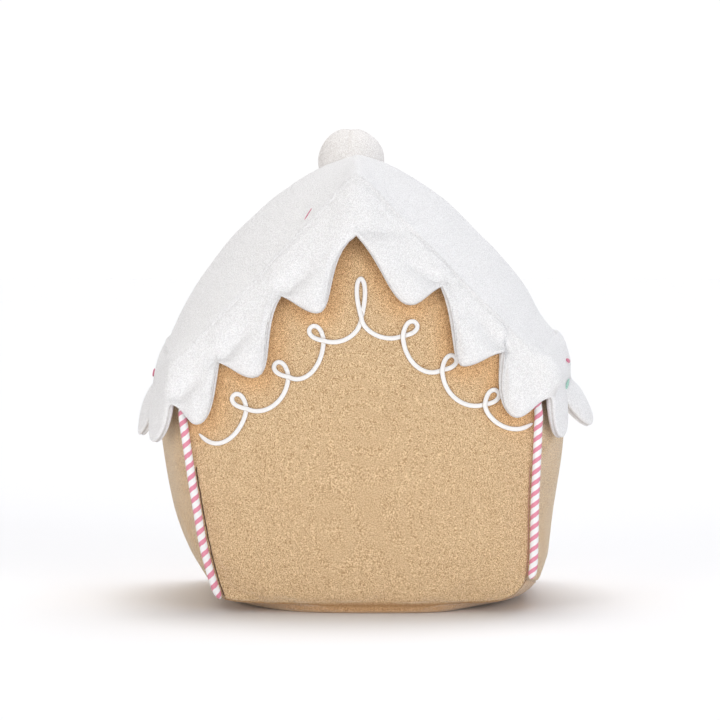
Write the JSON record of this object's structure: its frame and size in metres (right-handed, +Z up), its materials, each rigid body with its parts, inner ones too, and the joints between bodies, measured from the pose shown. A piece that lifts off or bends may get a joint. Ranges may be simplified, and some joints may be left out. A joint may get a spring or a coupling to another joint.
{
  "type": "plush toy gingerbread house",
  "caption": "Stuffed fabric toy house: tan fleece walls, scalloped icing roof cover, pompom on the ridge, striped piping and looped embroidery on both gables.",
  "frame": {"origin": "on the floor, below the middle of the toy's box", "axes": "+Z up, the front gable faces -Y, +X to the viewer's right"},
  "size_m": [0.2098, 0.1524, 0.22],
  "materials": {
    "tan_fleece": "short tan fleece with a fine mottled nap",
    "icing_plush": "soft white minky plush",
    "pompom_plush": "warm white plush ball",
    "piping_stripe": "pink and white diagonally striped cotton cord",
    "icing_thread": "white satin-stitch embroidery"
  },
  "bodies": {
    "root": {"body": "tan_fleece", "roof": "icing_plush", "pompom": "pompom_plush", "piping_front_left": "piping_stripe", "piping_front_right": "piping_stripe", "piping_back_left": "piping_stripe", "piping_back_right": "piping_stripe", "embroidery_front": "icing_thread", "embroidery_back": "icing_thread"}
  },
  "joints": []
}
